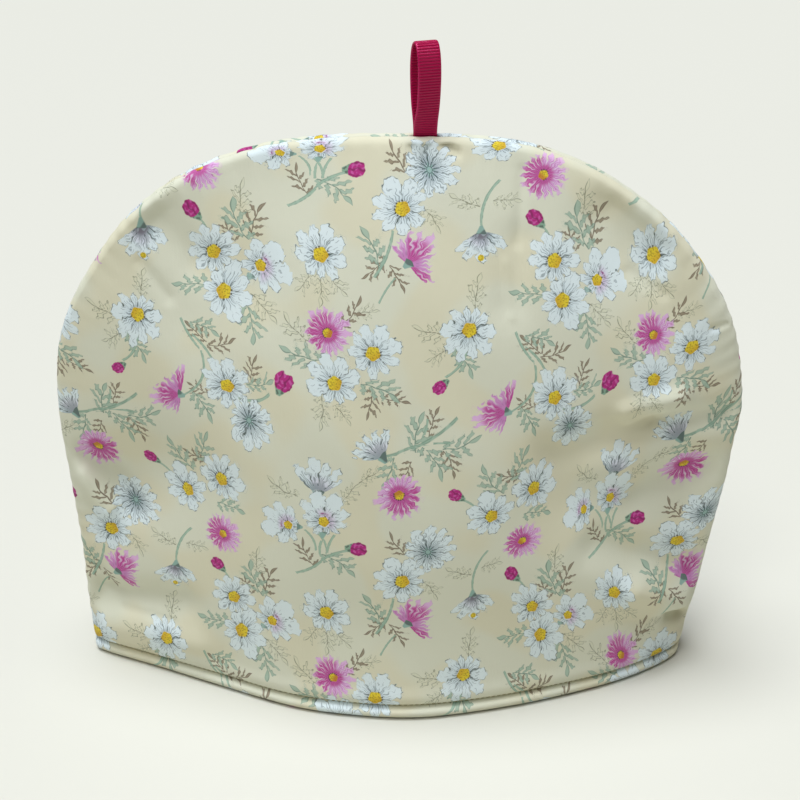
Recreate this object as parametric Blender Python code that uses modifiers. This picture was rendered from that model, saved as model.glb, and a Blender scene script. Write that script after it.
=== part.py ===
"""Padded tea cosy: a front and a back panel of wadded cotton, sewn together round an arch,
with a turned and stitched hem that it stands on, and a ribbon loop sewn into the top.

Metres, +Z up. The origin is on the table, under the middle of the cosy, and the front
faces -Y. Each panel is a loft between its outer face, which carries the folds, and its
plainer inner face. They meet the other panel on a flat band along the sewn edge.
"""
from collections import namedtuple

import bmesh
import bpy
import numpy as np
from mathutils import Matrix

# Sizes of the whole
CREST_Z = 0.2605
PANEL_DEPTH = 0.0610
FRONT_SKEW = 0.35
BACK_SKEW = 0.10
LEFT_DRAW = 0.70
WALL = 0.0060
NEIGHBOUR_GAP = 0.0003

# How the wall leans in towards the crest: depth falls with height to this power
LEAN_POWER = 2.56

# The padded roll on each side of the sewn edge, and the groove between the two rolls
ROLL_RADIUS = 0.0025
SEAM_GROOVE = 0.0015
ROLL_ANGLES_DEG = (35.0, 70.0, 105.0, 140.0, 180.0)
INNER_INSET = 0.0060
INNER_BLEND = 0.0140

# The hem: a puffed roll under a stitched groove
HEM_STITCH_Z = 0.0063
HEM_STITCH_DEPTH = 0.0011
HEM_STITCH_WIDTH = 0.0012
HEM_ROUND = 0.0026
HEM_TUCK = 0.0018

# The ribbon loop
RIBBON_X = 0.0107
RIBBON_WIDTH = 0.0102
RIBBON_THICKNESS = 0.0010
RIBBON_RISE = 0.0405
RIBBON_BELLY = 0.0071
RIBBON_PINCH = 1.2
RIBBON_TURN_DEG = 17.0
RIBBON_TURN_RISE = 0.0140
RIBBON_TAIL = 0.0090
POCKET_DROP = 0.0130
POCKET_RISE = 0.0050
RIBBON_LOOP_POINTS = 37
RIBBON_TAIL_POINTS = 3
RIBBON_ACROSS_POINTS = 3

# The grid of each panel: rows close together over the hem, then evenly up to the shoulder
HEM_ROWS = (0.0, 0.0009, 0.0026, 0.0048, 0.0063, 0.0078, 0.0105, 0.0145, 0.0190, 0.0240, 0.0300)
SHOULDER_Z = 0.2050
UPPER_ROWS = 18
COLUMNS = 34
COLUMN_BUNCHING = 0.07
ARCH_POWER = 3.0
STEPS_PER_SPAN = 24
UPRIGHT_EDGE_Z = 0.0300
EDGE_FADE = 0.0090
SHARP_ANGLE_DEG = 50.0

# The sewn edge, from the left end of the hem over the crest to its right end
SEAM_EDGE = np.array([
    # x, z
    (-0.1500, 0.0000),
    (-0.1516, 0.0300),
    (-0.1522, 0.0600),
    (-0.1545, 0.0950),
    (-0.1567, 0.1300),
    (-0.1545, 0.1600),
    (-0.1475, 0.1820),
    (-0.1365, 0.2010),
    (-0.1205, 0.2220),
    (-0.1015, 0.2380),
    (-0.0820, 0.2485),
    (-0.0570, 0.2565),
    (-0.0290, 0.2600),
    (0.0000, 0.2605),
    (0.0290, 0.2600),
    (0.0550, 0.2565),
    (0.0780, 0.2485),
    (0.0965, 0.2380),
    (0.1180, 0.2210),
    (0.1345, 0.2010),
    (0.1460, 0.1820),
    (0.1527, 0.1620),
    (0.1567, 0.1350),
    (0.1545, 0.1140),
    (0.1530, 0.0980),
    (0.1500, 0.0780),
    (0.1466, 0.0560),
    (0.1438, 0.0360),
    (0.1408, 0.0225),
    (0.1390, 0.0110),
    (0.1370, 0.0000),
])

# Folds run between two points of the panel, seen from the front, with a soft cross-section.
# A positive height is a ridge and a negative one a trough.
Fold = namedtuple("Fold", "x0 z0 x1 z1 width height")
FRONT_FOLDS = (
    Fold(-0.1500, 0.1000, -0.1370, 0.0830, 0.0060, 0.0030),
    Fold(-0.1440, 0.1080, -0.1250, 0.0880, 0.0080, -0.0030),
    Fold(-0.1480, 0.0520, -0.1390, 0.0370, 0.0050, -0.0018),
    Fold(-0.1470, 0.0330, -0.1020, 0.0430, 0.0080, -0.0030),
    Fold(-0.1420, 0.0180, -0.0980, 0.0210, 0.0090, 0.0024),
    Fold(0.1000, 0.1440, 0.1240, 0.1480, 0.0050, 0.0022),
    Fold(0.0700, 0.1280, 0.1060, 0.1350, 0.0100, -0.0034),
    Fold(0.1150, 0.1350, 0.1480, 0.1340, 0.0070, -0.0034),
    Fold(0.0880, 0.1170, 0.1000, 0.1100, 0.0100, 0.0016),
    Fold(0.1080, 0.1000, 0.1400, 0.1080, 0.0080, -0.0024),
    Fold(0.0900, 0.0780, 0.1370, 0.0560, 0.0090, -0.0036),
    Fold(0.1120, 0.0520, 0.1330, 0.0400, 0.0090, 0.0036),
    Fold(0.1290, 0.0280, 0.1400, 0.0240, 0.0040, -0.0050),
    Fold(-0.1040, 0.2230, -0.0900, 0.2090, 0.0100, -0.0022),
    Fold(0.0900, 0.2280, 0.1080, 0.2120, 0.0110, -0.0026),
    Fold(0.0500, 0.2200, 0.0470, 0.1950, 0.0080, -0.0010),
    Fold(0.0070, 0.2600, 0.0130, 0.2500, 0.0050, -0.0012),
)
BACK_FOLDS = (
    Fold(-0.1400, 0.0560, -0.0950, 0.0440, 0.0090, -0.0028),
    Fold(-0.1370, 0.0280, -0.0980, 0.0200, 0.0090, 0.0020),
    Fold(-0.1450, 0.1180, -0.1050, 0.1300, 0.0090, -0.0026),
    Fold(0.1400, 0.1040, 0.1080, 0.0860, 0.0080, -0.0026),
    Fold(0.1420, 0.0420, 0.1020, 0.0500, 0.0090, -0.0026),
    Fold(0.0980, 0.2160, 0.0840, 0.2020, 0.0110, -0.0020),
    Fold(-0.0480, 0.2180, -0.0450, 0.1900, 0.0090, -0.0012),
)


def smoothstep(t):
    """Rise from 0 to 1 with level ends."""
    t = np.clip(t, 0.0, 1.0)
    return t * t * (3.0 - 2.0 * t)


def smooth_path(points):
    """Read close points from the Catmull-Rom curve through the given ones."""
    ends = np.vstack([2 * points[0] - points[1], points, 2 * points[-1] - points[-2]])
    t = np.linspace(0.0, 1.0, STEPS_PER_SPAN, endpoint=False)[:, None]
    spans = []
    for i in range(len(points) - 1):
        a, b, c, d = ends[i:i + 4]
        spans.append(0.5 * (2 * b + (c - a) * t + (2 * a - 5 * b + 4 * c - d) * t**2
                            + (3 * b - a - 3 * c + d) * t**3))
    return np.vstack(spans + [points[-1:]])


EDGE = smooth_path(SEAM_EDGE)
EDGE[:, 1] = np.clip(EDGE[:, 1], 0.0, CREST_Z)
CREST_INDEX = int(np.argmax(EDGE[:, 1]))
LEFT_EDGE = EDGE[:CREST_INDEX + 1]
RIGHT_EDGE = EDGE[CREST_INDEX:][::-1]


def edge_x(side_edge, z):
    """The sewn edge's x at a height, on one side."""
    return np.interp(z, side_edge[:, 1], side_edge[:, 0])


def inset_from_edge(x, z):
    """How far a point of the panel lies inside the sewn edge."""
    return np.hypot(x[..., None] - EDGE[:, 0], z[..., None] - EDGE[:, 1]).min(axis=-1)


def crown(x, z, depth, skew):
    """The panel's bulge: a cosine across it, times a power of the height up it.

    skew draws the cosine in on the left and fills it out on the right.
    """
    half = np.where(x < 0.0, -edge_x(LEFT_EDGE, z), edge_x(RIGHT_EDGE, z))
    across = np.clip(np.abs(x) / np.maximum(half, 1e-6), 0.0, 1.0)
    left_power = 1.0 + LEFT_DRAW * skew * np.sin(np.pi * across)
    right_power = 1.0 - skew * across
    power = np.where(x < 0.0, left_power, right_power)
    rise = 1.0 - np.clip(z / CREST_Z, 0.0, 1.0) ** LEAN_POWER
    return (depth - 2.0 * ROLL_RADIUS) * rise * np.cos(0.5 * np.pi * across) ** power


def fold_relief(x, z, folds):
    """Sum the folds: each is a bell curve of the distance from the line that it runs along."""
    relief = np.zeros_like(x)
    for fold in folds:
        run_x, run_z = fold.x1 - fold.x0, fold.z1 - fold.z0
        along = ((x - fold.x0) * run_x + (z - fold.z0) * run_z) / (run_x**2 + run_z**2)
        along = np.clip(along, 0.0, 1.0)
        off = np.hypot(x - fold.x0 - along * run_x, z - fold.z0 - along * run_z)
        relief += fold.height * np.exp(-(off / fold.width) ** 2)
    return relief * smoothstep(inset_from_edge(x, z) / EDGE_FADE)


def hem_relief(z):
    """The stitched groove above the hem, and the hem's edge rounded under."""
    groove = HEM_STITCH_DEPTH * np.exp(-((z - HEM_STITCH_Z) / HEM_STITCH_WIDTH) ** 2)
    under = np.clip(1.0 - z / HEM_ROUND, 0.0, 1.0)
    return -groove - HEM_TUCK * (1.0 - np.sqrt(1.0 - under**2))


def edge_samples(rows, columns):
    """Points and outward directions along the sewn edge: left side, arch, right side."""
    left = np.column_stack([edge_x(LEFT_EDGE, rows), rows])
    right = np.column_stack([edge_x(RIGHT_EDGE, rows), rows])
    arch = EDGE[EDGE[:, 1] >= SHOULDER_Z]
    arch = np.vstack([left[-1:], arch, right[-1:]])
    run = np.concatenate([[0.0], np.cumsum(np.linalg.norm(np.diff(arch, axis=0), axis=1))])
    at = columns * run[-1]
    arch = np.column_stack([np.interp(at, run, arch[:, k]) for k in range(2)])
    border = np.vstack([left[:-1], arch, right[:-1][::-1]])
    nearest = np.hypot(border[:, None, 0] - EDGE[:, 0], border[:, None, 1] - EDGE[:, 1]).argmin(axis=1)
    tangent = np.gradient(EDGE, axis=0)[nearest]
    outward = np.column_stack([-tangent[:, 1], tangent[:, 0]])
    outward[:, 1] *= smoothstep(border[:, 1] / UPRIGHT_EDGE_Z)
    return border, outward / np.linalg.norm(outward, axis=1)[:, None]


def coons_patch(border, rows, columns):
    """Fill the border with a grid: rows lie level over the hem and bend towards the arch."""
    last = len(rows) - 1
    left = border[:last + 1]
    top = border[last:last + len(columns)]
    right = border[last + len(columns) - 1:][::-1]
    u = columns[None, :, None]
    v = ((rows / rows[-1]) ** ARCH_POWER)[:, None, None]
    bottom = left[0] + (right[0] - left[0]) * columns[:, None]
    sides = (1 - u) * left[:, None] + u * right[:, None]
    ends = (1 - v) * bottom[None] + v * top[None]
    corners = (1 - v) * ((1 - u) * left[0] + u * right[0]) + v * ((1 - u) * left[-1] + u * right[-1])
    return sides + ends - corners


def border_indices(row_count, column_count):
    """Grid indices along the left side, the top and the right side."""
    grid = np.arange(row_count * column_count).reshape(row_count, column_count)
    return np.concatenate([grid[:-1, 0], grid[-1, :], grid[:-1, -1][::-1]])


def strip_faces(one, other):
    """Quads between two matching rows of vertex indices."""
    one, other = one.tolist(), other.tolist()
    return [(one[i], one[i + 1], other[i + 1], other[i]) for i in range(len(one) - 1)]


def grid_faces(start, row_count, column_count):
    """Quads of a grid whose first vertex has the given index."""
    rows = start + np.arange(row_count * column_count).reshape(row_count, column_count)
    faces = []
    for low, high in zip(rows[:-1], rows[1:]):
        faces += strip_faces(low, high)
    return faces


def cloth_material(name, colour, roughness):
    """A plain dyed or printed fabric."""
    material = bpy.data.materials.new(name)
    material.use_nodes = True
    shader = material.node_tree.nodes["Principled BSDF"]
    shader.inputs["Base Color"].default_value = (*colour, 1.0)
    shader.inputs["Roughness"].default_value = roughness
    shader.inputs["Metallic"].default_value = 0.0
    return material


def add_object(name, mesh, collection, material):
    """Put a mesh into the scene, shaded smooth, with sharp edges kept sharp."""
    piece = bpy.data.objects.new(name, mesh)
    collection.objects.link(piece)
    mesh.materials.append(material)
    mesh.shade_smooth()
    mesh.set_sharp_from_angle(angle=np.radians(SHARP_ANGLE_DEG))
    return piece


def outer_face(border, outward, rows, columns, depth, skew, folds):
    """The outer face: a patch, then the padded roll round its border as far as the seam.

    The roll goes round a circle from the patch to the crest, and on round an ellipse, as
    deep as the seam's groove, from the crest to the seam plane.
    """
    patch = coons_patch(border - outward * ROLL_RADIUS, rows, columns)
    x, z = patch[..., 0], patch[..., 1]
    swell = crown(x, z, depth, skew) + fold_relief(x, z, folds) + hem_relief(z)
    layers = [np.column_stack([x.ravel(), (2.0 * ROLL_RADIUS + swell).ravel(), z.ravel()])]
    for angle in np.radians(ROLL_ANGLES_DEG):
        reach = ROLL_RADIUS if angle < 0.5 * np.pi else SEAM_GROOVE
        ring = border - outward * reach * (1.0 - np.sin(angle))
        x, z = ring[:, 0], ring[:, 1]
        swell = crown(x, z, depth, skew) * max(np.cos(angle), 0.0) + hem_relief(z) * np.cos(0.5 * angle)
        y = ROLL_RADIUS * (1.0 + np.cos(angle)) + swell
        layers.append(np.column_stack([x, np.maximum(y, 0.5 * NEIGHBOUR_GAP), z]))
    return layers


def inner_face(border, outward, rows, columns, depth, skew, folds):
    """The inner face: the outer one less the wall, drawn to the seam plane at its border."""
    patch = coons_patch(border - outward * INNER_INSET, rows, columns)
    x, z = patch[..., 0], patch[..., 1]
    outer = 2.0 * ROLL_RADIUS + crown(x, z, depth, skew) + fold_relief(x, z, folds)
    rise_z, rise_x = np.gradient(outer)
    run_z = np.linalg.norm(np.gradient(patch, axis=0), axis=-1)
    run_x = np.linalg.norm(np.gradient(patch, axis=1), axis=-1)
    wall = WALL * np.sqrt(1.0 + (rise_x / run_x) ** 2 + (rise_z / run_z) ** 2)
    away = smoothstep((inset_from_edge(x, z) - INNER_INSET) / INNER_BLEND)
    away[:, [0, -1]] = 0.0
    away[-1] = 0.0
    seam_plane = 0.5 * NEIGHBOUR_GAP
    y = seam_plane + np.maximum(outer - wall - seam_plane, 0.0) * away
    return np.column_stack([x.ravel(), y.ravel(), z.ravel()])


def panel_points(depth, skew, folds):
    """Points of one panel, as x, distance from the seam plane and z, and the faces on them."""
    rows = np.concatenate([HEM_ROWS, np.linspace(HEM_ROWS[-1], SHOULDER_Z, UPPER_ROWS + 1)[1:]])
    t = np.linspace(0.0, 1.0, COLUMNS + 1)
    columns = t - COLUMN_BUNCHING * np.sin(2.0 * np.pi * t)
    border, outward = edge_samples(rows, columns)
    layers = outer_face(border, outward, rows, columns, depth, skew, folds)
    patch_count, ring_count = len(layers[0]), len(layers) - 1
    layers.append(inner_face(border, outward, rows, columns, depth, skew, folds))

    faces = grid_faces(0, len(rows), len(columns))
    previous = border_indices(len(rows), len(columns))
    for i in range(ring_count):
        ring = patch_count + i * len(border) + np.arange(len(border))
        faces += strip_faces(ring, previous)
        previous = ring
    inner_start = patch_count + ring_count * len(border)
    faces += strip_faces(inner_start + border_indices(len(rows), len(columns)), previous)
    faces += [face[::-1] for face in grid_faces(inner_start, len(rows), len(columns))]
    return np.vstack(layers), faces


def make_panel(name, facing, depth, skew, folds, collection, material):
    """One padded panel. facing is -1 for the front and +1 for the back."""
    points, faces = panel_points(depth, skew, folds)
    points[:, 1] *= facing
    mesh = bpy.data.meshes.new(name)
    mesh.from_pydata(points.tolist(), [], faces)
    shell = bmesh.new()
    shell.from_mesh(mesh)
    open_rim = [edge for edge in shell.edges if edge.is_boundary]
    bmesh.ops.holes_fill(shell, edges=open_rim, sides=0)
    bmesh.ops.recalc_face_normals(shell, faces=shell.faces)
    shell.to_mesh(mesh)
    shell.free()
    return add_object(name, mesh, collection, material)


def make_pocket_cutter(collection):
    """The slot through the seam that the ribbon's tail lies in, with a gap all round."""
    width = RIBBON_WIDTH + 2.0 * NEIGHBOUR_GAP
    depth = 2.0 * RIBBON_THICKNESS + 3.0 * NEIGHBOUR_GAP
    height = POCKET_DROP + POCKET_RISE
    middle_z = CREST_Z + 0.5 * (POCKET_RISE - POCKET_DROP)
    bpy.ops.mesh.primitive_cube_add(size=1.0, location=(RIBBON_X, 0.0, middle_z))
    cutter = bpy.context.active_object
    cutter.name = "ribbon_pocket_cutter"
    cutter.data.transform(Matrix.Diagonal((width, depth, height, 1.0)))
    for owner in list(cutter.users_collection):
        owner.objects.unlink(cutter)
    collection.objects.link(cutter)
    cutter.hide_render = True
    cutter.display_type = "WIRE"
    return cutter


def cut_pocket(panel, cutter):
    """Take the ribbon's slot out of one panel."""
    cut = panel.modifiers.new("ribbon_pocket", "BOOLEAN")
    cut.operation = "DIFFERENCE"
    cut.solver = "EXACT"
    cut.object = cutter


def ribbon_strip():
    """Points across and along the ribbon's middle surface.

    The loop is a teardrop: its height goes as 1 - cos t, and its belly as sin t times a
    power of sin t/2. A straight tail hangs from each end, and the loop turns as it rises.
    """
    t = np.linspace(0.0, 2.0 * np.pi, RIBBON_LOOP_POINTS)
    half_gap = 0.5 * (RIBBON_THICKNESS + NEIGHBOUR_GAP)
    loop_y = RIBBON_BELLY * np.sin(t) * np.sin(0.5 * t) ** RIBBON_PINCH + half_gap * np.cos(0.5 * t)
    loop_z = CREST_Z + 0.5 * (RIBBON_RISE - 0.5 * RIBBON_THICKNESS) * (1.0 - np.cos(t))
    tail_z = np.linspace(CREST_Z - RIBBON_TAIL, CREST_Z, RIBBON_TAIL_POINTS, endpoint=False)
    front = np.concatenate([np.full(len(tail_z), half_gap), loop_y, np.full(len(tail_z), -half_gap)])
    z = np.concatenate([tail_z, loop_z, tail_z[::-1]])
    turn = np.radians(RIBBON_TURN_DEG) * smoothstep((z - CREST_Z) / RIBBON_TURN_RISE)
    across = RIBBON_WIDTH * np.linspace(-0.5, 0.5, RIBBON_ACROSS_POINTS)[:, None]
    x = RIBBON_X + np.sin(turn) * front + np.cos(turn) * across
    y = -np.cos(turn) * front + np.sin(turn) * across
    return np.stack([x, y, np.broadcast_to(z, x.shape)], axis=-1)


def make_ribbon_loop(collection, material):
    """The hanging loop: one strip of ribbon, with the thickness that Solidify gives it."""
    strip = ribbon_strip()
    mesh = bpy.data.meshes.new("ribbon_loop")
    faces = grid_faces(0, strip.shape[0], strip.shape[1])
    mesh.from_pydata(strip.reshape(-1, 3).tolist(), [], faces)
    ribbon = add_object("ribbon_loop", mesh, collection, material)
    thick = ribbon.modifiers.new("thickness", "SOLIDIFY")
    thick.thickness = RIBBON_THICKNESS
    thick.offset = 0.0
    thick.use_even_offset = True
    return ribbon


def main():
    for old in list(bpy.data.objects):
        bpy.data.objects.remove(old, do_unlink=True)
    cosy = bpy.data.collections.new("tea_cosy")
    cutters = bpy.data.collections.new("cutters")
    for collection in (cosy, cutters):
        bpy.context.scene.collection.children.link(collection)

    printed_cotton = cloth_material("printed_cotton", (0.72, 0.70, 0.47), 0.85)
    ribbon_crimson = cloth_material("ribbon_crimson", (0.31, 0.012, 0.055), 0.50)
    pocket = make_pocket_cutter(cutters)
    front = make_panel("front_panel", -1.0, PANEL_DEPTH, FRONT_SKEW, FRONT_FOLDS, cosy, printed_cotton)
    back = make_panel("back_panel", 1.0, PANEL_DEPTH, BACK_SKEW, BACK_FOLDS, cosy, printed_cotton)
    for panel in (front, back):
        cut_pocket(panel, pocket)
    make_ribbon_loop(cosy, ribbon_crimson)


main()
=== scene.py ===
"""Looks of a padded tea cosy: printed cotton panels, a stitched hem and a ribbon loop.

Metres, +Z up, the front towards -Y, standing on z = 0. Each panel is one closed surface
worked out from the same formulas as its solid, with finer creases, puckers and stitches.
The print is drawn by formulas, flower by flower, in each motif's own coordinates.
"""
import ast
from collections import namedtuple

import bpy
import numpy as np
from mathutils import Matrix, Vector


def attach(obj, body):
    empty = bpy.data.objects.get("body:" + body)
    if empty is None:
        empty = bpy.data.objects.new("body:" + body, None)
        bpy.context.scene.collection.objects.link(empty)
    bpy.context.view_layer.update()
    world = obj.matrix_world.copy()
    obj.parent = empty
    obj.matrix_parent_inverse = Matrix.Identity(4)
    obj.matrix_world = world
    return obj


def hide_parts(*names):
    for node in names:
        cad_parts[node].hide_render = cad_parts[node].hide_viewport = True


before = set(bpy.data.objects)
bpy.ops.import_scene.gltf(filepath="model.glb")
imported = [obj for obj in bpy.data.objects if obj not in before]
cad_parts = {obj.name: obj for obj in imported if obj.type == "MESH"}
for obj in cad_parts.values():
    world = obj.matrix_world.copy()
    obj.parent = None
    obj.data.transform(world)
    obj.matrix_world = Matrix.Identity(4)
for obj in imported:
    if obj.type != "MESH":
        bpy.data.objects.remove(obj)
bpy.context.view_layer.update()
MM = 0.001
TAU = 2.0 * np.pi


def table(kind, unit, rows):
    """A table's rows as named tuples, with every number times the unit."""
    return tuple(kind(*(unit * number for number in row)) for row in rows)


# Sizes of the panels, as in the solids, except that the hem is puffed and its groove deeper
CREST_Z = 0.2605
PANEL_DEPTH = 0.0610
FRONT_SKEW = 0.35
BACK_SKEW = 0.10
LEFT_DRAW = 0.70
WALL = 0.0060
NEIGHBOUR_GAP = 0.0003
LEAN_POWER = 2.56
ROLL_RADIUS = 0.0025
SEAM_GROOVE = 0.0015
INNER_INSET = 0.0060
INNER_BLEND = 0.0140
HEM_STITCH_Z = 0.0063
HEM_STITCH_DEPTH = 0.0022
HEM_STITCH_WIDTH = 0.0011
HEM_PUFF = 0.0018
ABOVE_HEM_PUFF = 0.0010
HEM_ROUND = 0.0026
HEM_TUCK = 0.0018
ARCH_POWER = 3.0
UPRIGHT_EDGE_Z = 0.0300
EDGE_FADE = 0.0090
SHOULDER_Z = 0.2050

# Folds stand out more in the cotton than in the padded solid under it
FOLD_GAIN = 1.5
HOLLOW_FADE = 0.0250

# The ribbon loop, as in its solid
RIBBON_X = 0.0107
RIBBON_WIDTH = 0.0102
RIBBON_THICKNESS = 0.0010
RIBBON_RISE = 0.0405
RIBBON_BELLY = 0.0071
RIBBON_PINCH = 1.2
RIBBON_TURN_DEG = 17.0
RIBBON_TURN_RISE = 0.0140
RIBBON_TAIL = 0.0090

# Fine relief of the ribbon: ribs across it, and a smoother selvedge along each side
RIB_PITCH = 0.0012
RIB_HEIGHT = 0.00011
SELVEDGE = 0.0007

# The fine grid: closer rows over the hem, then even ones up to the shoulder
HEM_GRID_Z = 0.0090
HEM_GRID_ROWS = 24
UPPER_GRID_ROWS = 228
GRID_COLUMNS = 297
COLUMN_BUNCHING = 0.05
ROLL_STEPS = 9
INNER_STEP = 3
STEPS_PER_SPAN = 12

# Fine relief that the solids leave out
STITCH_PITCH = 0.0026
STITCH_LENGTH = 0.0021
STITCH_RADIUS = 0.00030
STITCH_LIFT = 0.00024
STITCH_END_GAP = 0.0040
PUCKER_PITCH = 0.0088
PUCKER_HEIGHT = 0.00026
PUCKER_REACH = 0.0085
WADDING_LUMP = 0.00030
RIBBON_ROOM = 0.00135
RIBBON_ROOM_WIDTH = 0.0074

# The sewn edge, in millimetres, from the left end of the hem over the crest to its right end
SEAM_EDGE = MM * np.array([
    # x, z
    (-150, 0),
    (-151.6, 30),
    (-152.2, 60),
    (-154.5, 95),
    (-156.7, 130),
    (-154.5, 160),
    (-147.5, 182),
    (-136.5, 201),
    (-120.5, 222),
    (-101.5, 238),
    (-82, 248.5),
    (-57, 256.5),
    (-29, 260),
    (0, 260.5),
    (29, 260),
    (55, 256.5),
    (78, 248.5),
    (96.5, 238),
    (118, 221),
    (134.5, 201),
    (146, 182),
    (152.7, 162),
    (156.7, 135),
    (154.5, 114),
    (153, 98),
    (150, 78),
    (146.6, 56),
    (143.8, 36),
    (140.8, 22.5),
    (139, 11),
    (137, 0),
])

# Folds run between two points of the panel, seen from the front, with a soft cross-section.
# All is in millimetres. A positive height is a ridge and a negative one a trough.
Fold = namedtuple("Fold", "x0 z0 x1 z1 width height")
FRONT_FOLDS = table(Fold, MM, (
    # x0, z0, x1, z1, width, height
    (-150, 100, -137, 83, 6, 3),
    (-144, 108, -125, 88, 8, -3),
    (-148, 52, -139, 37, 5, -1.8),
    (-147, 33, -102, 43, 8, -3),
    (-142, 18, -98, 21, 9, 2.4),
    (100, 144, 124, 148, 5, 2.2),
    (70, 128, 106, 135, 10, -3.4),
    (115, 135, 148, 134, 7, -3.4),
    (88, 117, 100, 110, 10, 1.6),
    (108, 100, 140, 108, 8, -2.4),
    (90, 78, 137, 56, 9, -3.6),
    (112, 52, 133, 40, 9, 3.6),
    (129, 28, 140, 24, 4, -5),
    (-104, 223, -90, 209, 10, -2.2),
    (90, 228, 108, 212, 11, -2.6),
    (50, 220, 47, 195, 8, -1),
    (7, 260, 13, 250, 5, -1.2),
))
BACK_FOLDS = table(Fold, MM, (
    # x0, z0, x1, z1, width, height
    (-140, 56, -95, 44, 9, -2.8),
    (-137, 28, -98, 20, 9, 2),
    (-145, 118, -105, 130, 9, -2.6),
    (140, 104, 108, 86, 8, -2.6),
    (142, 42, 102, 50, 9, -2.6),
    (98, 216, 84, 202, 11, -2),
    (-48, 218, -45, 190, 9, -1.2),
))
# Wide hollows where the wadding gives way, which the solids leave nearly flat
FRONT_HOLLOWS = table(Fold, MM, (
    # x0, z0, x1, z1, width, height
    (82, 108, 134, 96, 24, -5.4),
    (-148, 90, -110, 108, 24, -5.1),
    (98, 208, 120, 196, 20, -1.8),
    (-20, 48, 50, 42, 28, -2.2),
    (-90, 190, -64, 202, 18, -1.4),
))
BACK_HOLLOWS = table(Fold, MM, (
    # x0, z0, x1, z1, width, height
    (82, 112, 124, 118, 24, -3.4),
    (-124, 90, -86, 98, 24, -4),
))
# Sharper creases in the cotton alone, which the wadding under it rounds off
FRONT_CREASES = table(Fold, MM, (
    # x0, z0, x1, z1, width, height
    (138, 176, 152, 177, 1.4, -0.7),
    (52, 248, 50, 219, 2.2, -0.5),
    (45, 212, 48, 190, 2.2, 0.4),
    (4, 260, 8, 250, 1.6, -0.8),
    (12, 260, 10, 248, 1.6, -1.2),
    (16.5, 260, 24, 255, 1.8, -1.4),
    (101, 138, 119, 142.5, 2.2, 0.8),
    (-146, 101, -134, 85, 2.2, 0.8),
    (-133, 29, -108, 30, 2.2, -0.5),
    (108, 33, 129, 30, 2.4, -0.7),
    (-113, 206, -101, 192, 3, -0.6),
    (99, 204, 115, 193, 2.6, -0.5),
))
BACK_CREASES = table(Fold, MM, (
    # x0, z0, x1, z1, width, height
    (-52, 246, -49, 220, 2.2, -0.5),
    (101, 138, 119, 142.5, 2.2, 0.7),
    (-133, 39, -108, 35, 2.2, -0.6),
))

# The print repeats every so many millimetres across and up the cloth
REPEAT_ACROSS = 148.0
REPEAT_UP = 167.0
BACK_SHIFT = (62.0, -7.0)

# Where the cotton is eased or pulled over the wadding, the print drifts by so many
# millimetres round a place on the cloth, fading over a width and a height
Ease = namedtuple("Ease", "across up width height shift_across shift_up")
FRONT_EASES = table(Ease, 1, (
    # across, up, width, height, shift_across, shift_up
    (118, 85, 48, 65, -16, 0),
    (96, 100, 20, 24, -4, 0),
    (53, 76, 18, 18, -5, 6),
    (72, 42, 28, 22, -2, 6),
    (118, 16, 18, 14, -3, -5),
    (122, 192, 34, 52, -3, -10),
    (142, 112, 26, 40, 0, -6),
    (-112, 92, 40, 38, 6, -1.5),
    (-72, 50, 30, 30, 1, 6),
    (-116, 212, 22, 22, 0, -8),
    (-61, 214, 14, 14, 1, 5),
    (-128, 165, 22, 22, 1, -6),
    (-72, 150, 16, 16, 2, 3),
    (-52, 272, 36, 10, 0, -9),
    (42, 272, 24, 10, 0, -7),
    (-2, 270, 18, 14, 0, 6),
))

# One repeat of the print, in millimetres, each motif turned clockwise from upright.
# size is a flower's petal length or half a sprig's length, and bend curves its stalk.
# kind is which flower or bud it is. Sprigs are all of one kind.
Motif = namedtuple("Motif", "across up size turn bend kind", defaults=(0,))
OPEN, TILTED, BACK, COSMOS, SIDE, PINK, BELL = range(7)
LOW_FLOWERS = table(Motif, 1, (
    # across, up, size, turn, bend, kind
    (-33.8, 219.5, 13.5, 0, 0, OPEN),
    (12.5, 255, 12.5, 30, 0, BACK),
    (-11.5, 178.5, 13.0, 20, 0, OPEN),
    (-31, 186.5, 11.5, -20, 0, COSMOS),
    (29.7, 188.2, 13.0, 170, 0, OPEN),
    (66.5, 215.5, 13.0, -10, 0, OPEN),
    (86.8, 207.5, 12.0, 50, 0, TILTED),
    (69.5, 155.8, 13.0, 0, 0, OPEN),
    (63, 113, 13.0, 40, 0, OPEN),
    (61, 252, 11.5, 90, 0, COSMOS),
    (-0.3, 115.5, 12.0, 200, 0, COSMOS),
    (-36.5, 114, 17.0, 10, 0, SIDE),
    (3.5, 217, 14.5, 50, 0, PINK),
    (47, 151, 14.5, -75, 0, PINK),
    (34.5, 229.5, 14.0, 180, 0, BELL),
    (-7.5, 132.5, 15.5, -35, 0, SIDE),
))
HIGH_FLOWERS = table(Motif, 1, (
    # across, up, size, turn, bend, kind
    (1, 240, 13.0, -60, 0, OPEN),
    (-28.2, 164.7, 13.0, -20, 0, OPEN),
    (70.7, 198.7, 13.5, 120, 0, OPEN),
    (79, 141.5, 12.5, 120, 0, BACK),
    (42, 102.8, 12.5, -40, 0, OPEN),
    (-34, 101, 12.0, 5, 0, TILTED),
    (-51, 97, 10.5, -90, 0, TILTED),
))
ROUND_BUD, HEART_BUD = range(2)
BUDS = table(Motif, 1, (
    # across, up, size, turn, bend, kind
    (-19.3, 255.8, 5.0, 95, 0, ROUND_BUD),
    (58, 233.5, 5.0, -45, 0, ROUND_BUD),
    (-51.5, 162, 5.6, 25, 0, HEART_BUD),
    (17.5, 164, 4.2, -130, 0, ROUND_BUD),
    (25, 114.5, 4.2, -60, 0, ROUND_BUD),
))
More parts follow.
